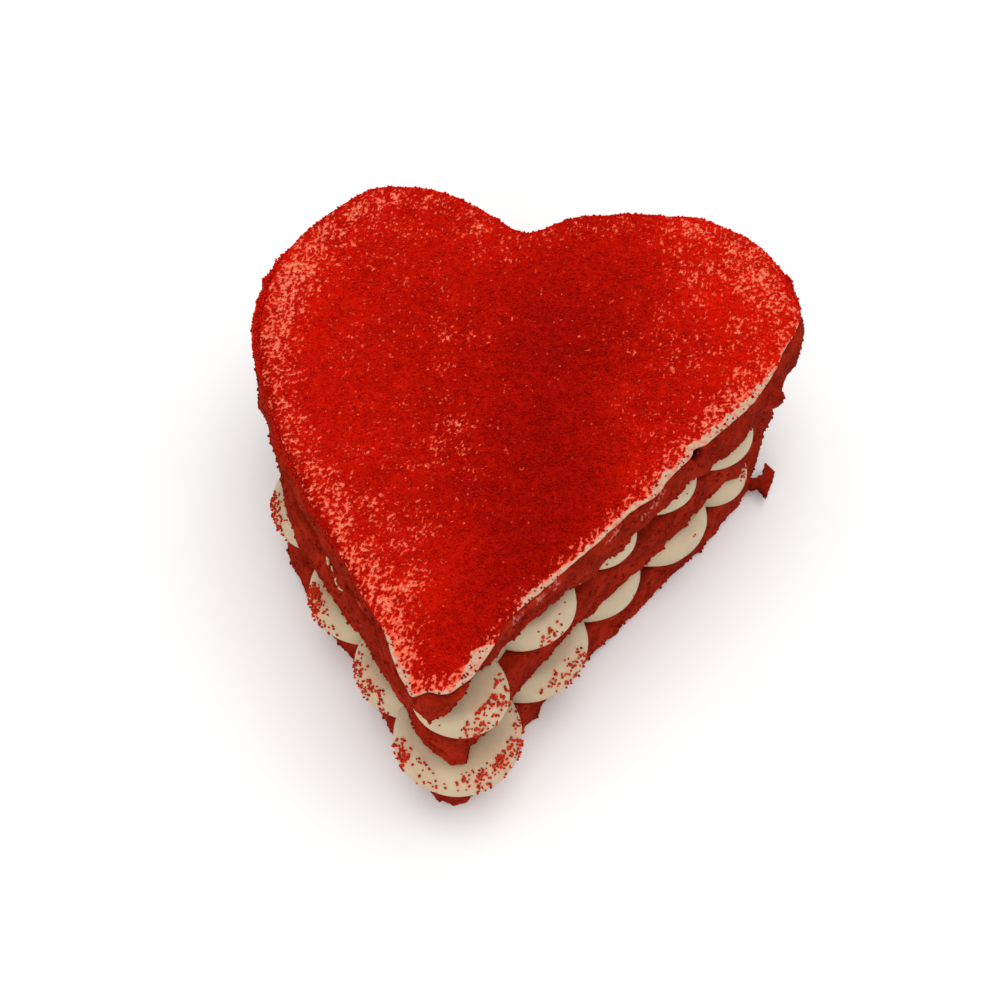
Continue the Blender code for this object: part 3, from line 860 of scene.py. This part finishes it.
def joined_by(piece, operation, other):
    """Applies a Boolean of the piece with another object or collection, and returns the new mesh."""
    change = piece.modifiers.new("joined", "BOOLEAN")
    change.operation = operation
    change.solver = "MANIFOLD"
    if isinstance(other, Collection):
        change.operand_type = "COLLECTION"
        change.collection = other
    else:
        change.object = other
    evaluated = piece.evaluated_get(bpy.context.evaluated_depsgraph_get())
    data = bpy.data.meshes.new_from_object(evaluated)
    piece.modifiers.clear()
    return data


def in_order(data):
    """The same mesh with its points and faces in one order, which a union changes in every run."""
    points = values_of(data.vertices, "co", 3)
    order = np.lexsort(points.T)
    number_of = np.argsort(order)
    faces = [number_of[list(face.vertices)].tolist() for face in data.polygons]
    ordered = bpy.data.meshes.new(data.name)
    ordered.from_pydata(points[order].tolist(), [], sorted(faces, key=sorted))
    bpy.data.meshes.remove(data)
    return ordered


def cream_mounds(name, node, row, falls, finish):
    """One row of mounds joined to the filling between the sponges, stained where crumbs fell."""
    low, high = span(node)
    draw = random.Random(SEED)
    outline = [(spoke.normalized(), spoke.length) for spoke in heart_spokes(FILLING_COLUMNS)]
    rings = [ring_at(outline, z, FILLING_INSET) for z in (low, high)]
    filling = piece_from(lofted(rings), name, finish)
    mounds = bpy.data.collections.new(name)
    bpy.context.scene.collection.children.link(mounds)
    for centre, radius in piped_row(**row):
        nudge = draw.uniform(0.01, 0.05) * MM
        mounds.objects.link(mound(centre, radius, low + nudge, high - low - 2 * nudge, draw))
    data = in_order(joined_by(filling, "UNION", mounds))
    remove(filling, *mounds.objects)
    bpy.data.collections.remove(mounds)
    piece = piece_of(data, name, finish)
    piece.data.set_sharp_from_angle(angle=SHARP_ANGLE)
    stained = np.zeros(len(data.vertices))
    for x, y, spread, number in falls:
        aways = [math.hypot(corner.co.x - x * MM, corner.co.y - y * MM) for corner in data.vertices]
        faded = np.exp(-((np.array(aways) / (spread * STAIN_REACH * MM)) ** 2))
        stained += number / STAIN_CROWD / spread * faded
    paint(piece, "stain", np.clip(stained, 0, 1.2))
    dress(piece, "cream", node)


class CAKE_OT_cream_rows(Operator):
    """Makes the two rows of piped mounds"""

    bl_idname = "cake.cream_rows"
    bl_label = "Piped cream rows"

    def execute(self, context):
        finish = cream_material()
        cream_mounds("lower_mounds", "cream_lower", LOWER_ROW, LOWER_FALLS, finish)
        cream_mounds("upper_mounds", "cream_upper", UPPER_ROW, UPPER_FALLS, finish)
        return {"FINISHED"}


# Small streaks of cream at the edge of the middle sponge: width in mm, then x, y, z along each
STREAKS = (
    (1.3, ((-56.6, -44.6, 53.6), (-56.2, -45.7, 52.8), (-56.0, -46.6, 52.2))),
    (0.8, ((-54.5, -48.0, 53.4), (-54.0, -49.2, 52.6), (-53.3, -50.4, 51.4))),
    (0.8, ((-52.4, -51.4, 51.6), (-52.8, -51.7, 50.4), (-51.9, -52.8, 49.2))),
    (0.9, ((-51.5, -53.2, 49.0), (-50.4, -54.4, 49.4), (-49.4, -55.4, 50.6))),
)


class CAKE_OT_drops(Operator):
    """Makes the small streaks of cream on the left"""

    bl_idname = "cake.drops"
    bl_label = "Cream streaks"

    def execute(self, context):
        mesh = bmesh.new()
        draw = random.Random(SEED)
        for width, line in STREAKS:
            for before, after in zip(line, line[1:]):
                start, end = Vector(before) * MM, Vector(after) * MM
                made = bmesh.ops.create_icosphere(mesh, subdivisions=2, radius=width / 2 * MM)["verts"]
                length = (end - start).length / (width * MM) + draw.uniform(0.4, 0.8)
                bmesh.ops.scale(mesh, verts=made, vec=(draw.uniform(0.7, 1.1), length, 0.7))
                turn = (end - start).to_track_quat("Y", "Z").to_matrix()
                bmesh.ops.rotate(mesh, verts=made, cent=(0, 0, 0), matrix=turn)
                bmesh.ops.translate(mesh, verts=made, vec=(start + end) / 2)
        piece = piece_from(mesh, "cream_drops", bpy.data.materials["Piped cream"])
        paint(piece, "stain", [0.3] * len(piece.data.vertices))
        dress(piece, "cream")
        return {"FINISHED"}


# The top

MARGIN = 2 * MM  # how far the slab that the lip's body is cut from reaches past it on each side
CREAM_LEVEL = 1.2 * MM  # height of the bare cream above the spread's underside
SKIRT = 1 * MM  # how far the slab reaches below that underside
FLECK_SAMPLES = 4000
STRIP_EDGE = 1.2 * MM  # how softly the strip of smooth cream ends
DARK_RIM = (0.75, 0.93)  # shares of the way round between which the top's edge is darker
DARK_RIM_WIDTH = 2.2 * MM


class BareMap:
    """Where cream shows between the crumbs on top."""

    def __init__(self):
        outline = lip_outline()
        self.count = len(outline)
        self.tree = KDTree(self.count)
        for number, (away, far) in enumerate(outline):
            self.tree.insert((HEART_CORE + away * far).to_3d(), number)
        self.tree.balance()
        draw = random.Random(SEED)
        spread = [Vector((draw.uniform(-1, 1), draw.uniform(-1, 1), 0)) * 0.1 for _ in range(FLECK_SAMPLES)]
        self.levels = sorted(self.fleck(place) for place in spread)

    @staticmethod
    def fleck(place):
        """Highest in small ragged blots and along short lines, longer towards the notch than across."""
        drawn = Vector((place.x, place.y * 0.65, 0))
        line = 1 - 1.9 * abs(rough(drawn, 1.2))
        broken = rough(drawn, 0.8, (5, 5, 5))
        blot = rough(drawn, 1.5, (9, 1, 5))
        cluster = rough(place, 5, (2, 8, 5))
        return line + 1.3 * broken + 0.7 * blot + 0.45 * cluster

    def at(self, place):
        """How crumbed this place is, how much it is smooth cream, and how bright its crumbs are painted,
        partly with painted light and shade.
        """
        place = Vector((place[0], place[1], 0))
        _, number, away = self.tree.find(place)
        share = number / self.count
        most, inset, inwards, outwards = along_edge(BARE_EDGE, share)
        fade = inwards if away > inset else outwards
        amount = most * math.exp(-(((away - inset) / fade) ** 2))
        for x, y, size, most in BARE_PATCHES:
            amount = max(amount, most * fading(place, x, y, size))
        level = self.levels[min(FLECK_SAMPLES - 1, int((1 - amount) * FLECK_SAMPLES))]
        bare = limited(0.5 + (self.fleck(place) - level))
        (strip,) = along_edge(CREAM_STRIP, share)
        ragged = 1.1 * rough(place, 2.4, (3, 3, 9)) + 0.8 * rough(place, 1.1, (6, 1, 4))
        smooth = limited(0.5 + (strip - away) / STRIP_EDGE + ragged)
        tone = tone_and_painted_light_at(place)
        if DARK_RIM[0] < share < DARK_RIM[1]:
            tone -= 0.55 * math.exp(-((away / DARK_RIM_WIDTH) ** 2))
        return 1 - max(bare, smooth), smooth, tone


def tone_and_painted_light_at(place):
    """How bright the crumbs are painted around this place, from 0 to 1: partly how thickly they lie, partly
    painted light and shade.
    """
    flat = Vector((place[0], place[1], 0))
    tone = 0.5
    for x, y, size, amount in TONES_AND_PAINTED_LIGHT:
        tone += amount * fading(flat, x, y, size)
    return tone + 0.16 * rough(flat, 8) + 0.14 * rough(flat, 2.6)


def crumb_bed(place):
    """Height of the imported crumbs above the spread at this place."""
    broad = rough(place, 7)
    clump = rough(place, 2.2, (3, 1, 0))
    grain = rough(place, 0.95, (8, 2, 0))
    return (0.5 + 0.3 * broad + 0.3 * clump + 0.35 * grain) * MM


def lip_body(low):
    """The whole of the spread with its rounded lip, up past the crumbs."""
    outline = lip_outline()
    steps = 8
    rings = [ring_at(outline, low, LIP_UNDERCUT)]
    for step in range(steps + 1):
        turn = math.pi / 2 * step / steps
        z = low + LIP_WIDEST + LIP_BULGE * math.sin(turn)
        rings.append(ring_at(outline, z, LIP_BULGE * (1 - math.cos(turn))))
    return lofted(rings)


class CAKE_OT_spread(Operator):
    """Makes the cream on top with its bed of crumbs and its rounded lip"""

    bl_idname = "cake.spread"
    bl_label = "Top cream"

    def execute(self, context):
        finish = spread_material()
        low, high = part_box("cream_top")
        grain = sizes().top_grain
        width, length = high.x - low.x + 2 * MARGIN, high.y - low.y + 2 * MARGIN
        columns, rows = round(width / grain), round(length / grain)
        middle = Vector(((low.x + high.x) / 2, (low.y + high.y) / 2, low.z + CREAM_LEVEL))
        bare_map = BareMap()

        mesh = bmesh.new()
        bmesh.ops.create_grid(mesh, x_segments=columns, y_segments=rows, size=0.5)
        bmesh.ops.scale(mesh, verts=mesh.verts, vec=(width, length, 1))
        bmesh.ops.translate(mesh, verts=mesh.verts, vec=middle)
        body = piece_from(lip_body(low.z), "lip", finish)
        for corner in mesh.verts:
            flat = Vector((corner.co.x, corner.co.y, 0))
            crumbed, _, _ = bare_map.at(flat)
            cream = 0.12 * MM * rough(flat, 4)
            corner.co.z += cream * (1 - crumbed) + crumb_bed(flat) * crumbed
        rim = [edge for edge in mesh.edges if edge.is_boundary]
        skirt = bmesh.ops.extrude_edge_only(mesh, edges=rim)["geom"]
        for corner in skirt:
            if isinstance(corner, bmesh.types.BMVert):
                corner.co.z = low.z - SKIRT
        bmesh.ops.contextual_create(mesh, geom=[e for e in skirt if isinstance(e, bmesh.types.BMEdge)])
        bmesh.ops.recalc_face_normals(mesh, faces=mesh.faces)
        slab = piece_from(mesh, "slab", finish)
        data = joined_by(slab, "INTERSECT", body)
        remove(body, slab)
        piece = piece_of(data, "top_cream", finish)
        every = np.array([bare_map.at(corner.co) for corner in piece.data.vertices])
        for name, values in zip(("crumbed", "smooth", "shade"), every.T):
            paint(piece, name, values)
        dress(piece, "crumbed_cream", "cream_top")
        return {"FINISHED"}


# Crumbs

CRUMB_KINDS = 12  # how many shapes of crumb each pile has
CRUMB_LUMPS = (0.75, 1.2)  # shares of its radius at which a crumb's corners stand
RIM_CRUMBED = (0.312, 0.95)  # shares of the way round between which crumbs run over the edge
RIM_INSIDE = -0.8 * MM  # how far past the lip they start, and how far down they go
RIM_DROP = 2.2 * MM
# How bright they are: shares of the way round, and the shade at each
RIM_SHADES = ((0.3, 0.58, 0.64, 0.74, 0.8), (0.7, 0.62, 0.85, 0.75, 0.42))


def crumb_shapes(rounded, draw):
    """Corners of several lumpy crumbs of width 1, and the triangles that they share."""
    shapes = []
    for _ in range(CRUMB_KINDS):
        mesh = bmesh.new()
        if rounded:
            bmesh.ops.create_icosphere(mesh, subdivisions=1, radius=0.5)
        else:
            bmesh.ops.create_cube(mesh, size=0.62)
            bmesh.ops.triangulate(mesh, faces=mesh.faces)
        mesh.verts.ensure_lookup_table()
        for corner in mesh.verts:
            corner.co *= draw.uniform(*CRUMB_LUMPS)
        stretch = (draw.uniform(0.8, 1.25), draw.uniform(0.8, 1.25), draw.uniform(0.7, 1.1))
        bmesh.ops.scale(mesh, verts=mesh.verts, vec=stretch)
        shapes.append([tuple(corner.co) for corner in mesh.verts])
        triangles = [[corner.index for corner in face.verts] for face in mesh.faces]
        mesh.free()
    return np.array(shapes), np.array(triangles)


def turns(count, dice):
    """Random rotations."""
    quarter = dice.normal(size=(count, 4))
    quarter /= np.linalg.norm(quarter, axis=1)[:, None]
    w, x, y, z = quarter.T
    return np.array(
        [
            [1 - 2 * (y * y + z * z), 2 * (x * y - z * w), 2 * (x * z + y * w)],
            [2 * (x * y + z * w), 1 - 2 * (x * x + z * z), 2 * (y * z - x * w)],
            [2 * (x * z - y * w), 2 * (y * z + x * w), 1 - 2 * (x * x + y * y)],
        ]
    ).transpose(2, 0, 1)


def crumb_pile(name, places, widths, shades, finish, seed=SEED, rounded=True, slot="crumbed_cream"):
    """One piece of many crumbs, each with its own shape, turn, width and shade."""
    dice = np.random.default_rng(seed)
    shapes, triangles = crumb_shapes(rounded, random.Random(seed))
    count = len(places)
    corners = shapes[dice.integers(0, len(shapes), count)] * widths[:, None, None]
    corners = corners @ turns(count, dice) + places[:, None, :]
    each = shapes.shape[1]
    faces = triangles[None] + (np.arange(count) * each)[:, None, None]
    data = bpy.data.meshes.new(name)
    data.from_pydata(corners.reshape(-1, 3).tolist(), [], faces.reshape(-1, 3).tolist())
    piece = piece_of(data, name, finish, smooth=rounded)
    paint(piece, "shade", np.repeat(np.clip(shades, 0, 1), each))
    dress(piece, slot)


def scattered(piece, count, weigh, dice):
    """Random places on the piece, more where `weigh` says, with the directions that it faces."""
    data = piece.data
    data.calc_loop_triangles()
    corners = values_of(data.loop_triangles, "vertices", 3, int)
    triangles = values_of(data.vertices, "co", 3)[corners]
    across = np.cross(triangles[:, 1] - triangles[:, 0], triangles[:, 2] - triangles[:, 0])
    doubled = np.linalg.norm(across, axis=1) + 1e-15
    normals = across / doubled[:, None]
    weights = doubled * weigh(triangles.mean(axis=1), normals, corners)
    picked = dice.choice(len(weights), count, p=weights / weights.sum())
    first, second = dice.random((2, count, 1))
    over = first + second > 1
    first, second = np.where(over, 1 - first, first), np.where(over, 1 - second, second)
    chosen = triangles[picked]
    places = chosen[:, 0] + first * (chosen[:, 1] - chosen[:, 0]) + second * (chosen[:, 2] - chosen[:, 0])
    return places, normals[picked]


def painted_values(piece, name):
    """The values that `paint` gave to the piece's points."""
    return values_of(piece.data.attributes[name].data, "value", 1, np.float32)[:, 0]


class CAKE_OT_top_crumbs(Operator):
    """Strews the top with crumbs of three sizes"""

    bl_idname = "cake.top_crumbs"
    bl_label = "Crumbs on top"

    def execute(self, context):
        size, look = sizes(), colours()
        finish = crumb_material("Red crumbs", look.crumb_dark, look.crumb)
        top = bpy.data.objects["top_cream"]
        bare_map = BareMap()
        crumbed = painted_values(top, "crumbed")
        smooth = painted_values(top, "smooth")

        def weigh(centres, normals, corners):
            cover = crumbed[corners].mean(axis=1)
            strip = smooth[corners].mean(axis=1)
            return (normals[:, 2] > 0.2) * (0.075 + 0.065 * strip + np.clip(cover * 1.6 - 0.55, 0, 0.9))

        kinds = (
            ("fine_crumbs", size.fine_crumbs, 0.5, 0.75, False),
            ("small_crumbs", size.small_crumbs, 0.65, 1.0, False),
            ("medium_crumbs", size.medium_crumbs, 0.9, 1.35, True),
        )
        for number, (name, count, least, most, rounded) in enumerate(kinds):
            dice = np.random.default_rng(SEED + number)
            places, _ = scattered(top, count, weigh, dice)
            widths = dice.uniform(least, most, count) * MM
            places[:, 2] += widths * dice.uniform(-0.15, 0.3, count)
            under = np.array([bare_map.at(place) for place in places])
            # Painted shade: crumbs lying on the smooth strip along the edge are made darker
            tones_with_painted_shade = under[:, 2] - 0.5 * under[:, 1]
            shades = tones_with_painted_shade + dice.normal(0, 0.12, count)
            crumb_pile(name, places, widths, shades, finish, SEED + number, rounded)
        return {"FINISHED"}


class CAKE_OT_rim_crumbs(Operator):
    """Runs the crumbs over the edge of the top, where no cream shows along it"""

    bl_idname = "cake.rim_crumbs"
    bl_label = "Crumbs over the rim"

    def execute(self, context):
        look = colours()
        finish = crumb_material("Rim crumbs", scaled(look.sponge, 0.8), look.crumb)
        dice = np.random.default_rng(SEED)
        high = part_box("sponge_top")[1].z

        def weigh(centres, normals, corners):
            shares = shares_at(centres)
            along_rim = (shares > RIM_CRUMBED[0]) * (shares < RIM_CRUMBED[1])
            covered = along_rim * (past_lip(centres) > RIM_INSIDE)
            return covered * np.exp(-(((high - centres[:, 2]) / RIM_DROP) ** 2))

        count = sizes().rim_crumbs
        places, normals = scattered(bpy.data.objects["top_sponge"], count, weigh, dice)
        widths = (0.45 + 0.75 * dice.random(count) ** 2) * MM
        places += normals * (widths * 0.2)[:, None]
        places[:, 2] += dice.uniform(0, 1.6, count) ** 2 * 0.7 * MM * (high - places[:, 2] < 1.2 * MM)
        shades = np.interp(shares_at(places), *RIM_SHADES)
        # The top's painted light and shade carried onto the rim crumbs
        shades += 0.6 * np.array([tone_and_painted_light_at(place) - 0.5 for place in places])
        crumb_pile("rim_crumbs", places, widths, shades + dice.normal(0, 0.15, count), finish)
        return {"FINISHED"}


class CAKE_OT_mound_crumbs(Operator):
    """Lets crumbs fall on the piped mounds"""

    bl_idname = "cake.mound_crumbs"
    bl_label = "Crumbs on the mounds"

    def execute(self, context):
        usual = sizes().mound_crumbs
        finish = crumb_material("Fallen crumbs", *FALLEN_COLOURS)
        for row, falls in (("lower", LOWER_FALLS), ("upper", UPPER_FALLS)):
            dice = np.random.default_rng(SEED + len(falls))
            piece = bpy.data.objects[f"{row}_mounds"]
            found = []
            for x, y, spread, number in (*falls, STRAY_FALL):

                def weigh(centres, normals, corners):
                    away = np.hypot(centres[:, 0] - x * MM, centres[:, 1] - y * MM) / (spread * MM)
                    return np.exp(-(away**2)) * (normals[:, 2] > -0.1) * (normals[:, 2] < 0.98)

                found.append(scattered(piece, max(1, round(number * usual)), weigh, dice))
            places, normals = (np.concatenate(each) for each in zip(*found))
            widths = dice.uniform(0.65, 1.2, len(places)) * MM
            places += normals * (widths * dice.uniform(0.1, 0.4, len(places)))[:, None]
            shades = dice.normal(0.5, 0.25, len(places))
            crumb_pile(f"{row}_fallen_crumbs", places, widths, shades, finish)
        return {"FINISHED"}


class CAKE_OT_side_crumbs(Operator):
    """Sticks crumbs to the torn sides of the sponges"""

    bl_idname = "cake.side_crumbs"
    bl_label = "Crumbs on the sides"

    def execute(self, context):
        size, look = sizes(), colours()
        finish = crumb_material("Side crumbs", scaled(look.sponge, 0.6), scaled(look.sponge, 1.3))
        every = []
        for number, layer in enumerate(("bottom", "middle", "top")):
            dice = np.random.default_rng(SEED + number)
            low, high = span(f"sponge_{layer}")
            margin = 0.6 * MM

            def weigh(centres, normals, corners):
                on_side = np.abs(normals[:, 2]) < 0.85
                return on_side * (centres[:, 2] > low + margin) * (centres[:, 2] < high - margin)

            count = size.side_crumbs // 3
            places, normals = scattered(bpy.data.objects[f"{layer}_sponge"], count, weigh, dice)
            widths = dice.uniform(0.55, 1.0, count) ** 2 * 1.7 * MM
            places += normals * (widths * 0.05)[:, None]
            places[:, 2] = np.maximum(places[:, 2], 0.8 * MM)
            every.append((places, widths))
        places, widths = (np.concatenate(each) for each in zip(*every))
        shades = np.random.default_rng(SEED).normal(0.5, 0.25, len(places))
        crumb_pile("side_crumbs", places, widths, shades, finish, slot="sponge")
        return {"FINISHED"}


# Stage

# Soft lights: name, place, width, power in watts and colour
LAMPS = (
    ("overhead", (0.15, 0.1, 1.2), 1.2, 9, (1.0, 0.97, 0.93)),
    ("front", (-0.1, -1.0, 0.5), 0.9, 3.1, (1.0, 0.97, 0.93)),
    ("side", (0.9, -0.7, 0.5), 0.8, 0.8, (0.86, 0.93, 1.0)),
    ("left", (-0.9, -0.6, 0.5), 0.8, 1.4, (1.0, 0.92, 0.68)),
)
LAMP_AIM = Vector((0, 0, 0.05))
CAMERA_PLACE = (0.0362, -0.2933, 0.4512)
CAMERA_TURN = (math.radians(35.4), 0, math.radians(7.66))
LENS = 50.08


class CAKE_OT_stage(Operator):
    """Sets the floor, the soft light and the camera"""

    bl_idname = "cake.stage"
    bl_label = "Stage"

    def execute(self, context):
        scene = context.scene
        made, tree, shader = blank_material("Pale floor", 0.7)
        pale = colours().floor
        tone = ramp(tree, object_noise(tree, 0.4), (0.4, scaled(pale, 0.985)), (0.6, pale))
        tree.links.new(tone, shader.inputs["Base Color"])
        mesh = bmesh.new()
        bmesh.ops.create_grid(mesh, x_segments=1, y_segments=1, size=3)
        floor = piece_from(mesh, "floor", made)

        world = bpy.data.worlds.new("Soft room")
        world.use_nodes = True
        sky = world.node_tree.nodes["Background"]
        sky.inputs["Color"].default_value = (0.93, 0.96, 1.0, 1)
        sky.inputs["Strength"].default_value = 0.9
        scene.world = world

        for lamp in LAMPS:
            self.lamp(*lamp)

        view = bpy.data.cameras.new("view")
        view.lens = LENS
        view.sensor_width = 36
        camera = placed("view", view)
        camera.location = CAMERA_PLACE
        camera.rotation_euler = CAMERA_TURN
        scene.camera = camera
        scene.view_settings.view_transform = "Standard"
        return {"FINISHED"}

    @staticmethod
    def lamp(name, place, width, power, colour):
        """A square soft light that faces the middle of the cake."""
        light = bpy.data.lights.new(name, "AREA")
        light.size = width
        light.energy = power
        light.color = colour
        made = placed(name, light)
        made.location = place
        made.rotation_euler = (Vector(place) - LAMP_AIM).to_track_quat("Z", "Y").to_euler()


OPERATORS = (
    CAKE_OT_sponges,
    CAKE_OT_cream_rows,
    CAKE_OT_drops,
    CAKE_OT_spread,
    CAKE_OT_top_crumbs,
    CAKE_OT_rim_crumbs,
    CAKE_OT_mound_crumbs,
    CAKE_OT_side_crumbs,
    CAKE_OT_stage,
)


class CAKE_PT_panel(Panel):
    """Lists the cake's pieces and their sizes and colours"""

    bl_idname = "CAKE_PT_panel"
    bl_label = "Heart layer cake"
    bl_space_type = "VIEW_3D"
    bl_region_type = "UI"
    bl_category = "Cake"

    def draw(self, context):
        for operator in OPERATORS:
            self.layout.operator(operator.bl_idname)
        for group in (context.scene.cake_sizes, context.scene.cake_colours):
            box = self.layout.box()
            for name in group.__annotations__:
                box.prop(group, name)


CLASSES = (CakeSizes, CakeColours, *OPERATORS, CAKE_PT_panel)


def register():
    for each in CLASSES:
        bpy.utils.register_class(each)
    bpy.types.Scene.cake_sizes = PointerProperty(type=CakeSizes)
    bpy.types.Scene.cake_colours = PointerProperty(type=CakeColours)


def unregister():
    del bpy.types.Scene.cake_colours
    del bpy.types.Scene.cake_sizes
    for each in reversed(CLASSES):
        bpy.utils.unregister_class(each)


def main():
    register()
    bpy.ops.cake.sponges()
    bpy.ops.cake.cream_rows()
    bpy.ops.cake.drops()
    bpy.ops.cake.spread()
    bpy.ops.cake.top_crumbs()
    bpy.ops.cake.rim_crumbs()
    bpy.ops.cake.mound_crumbs()
    bpy.ops.cake.side_crumbs()
    bpy.ops.cake.stage()


if __name__ == "__main__":
    main()
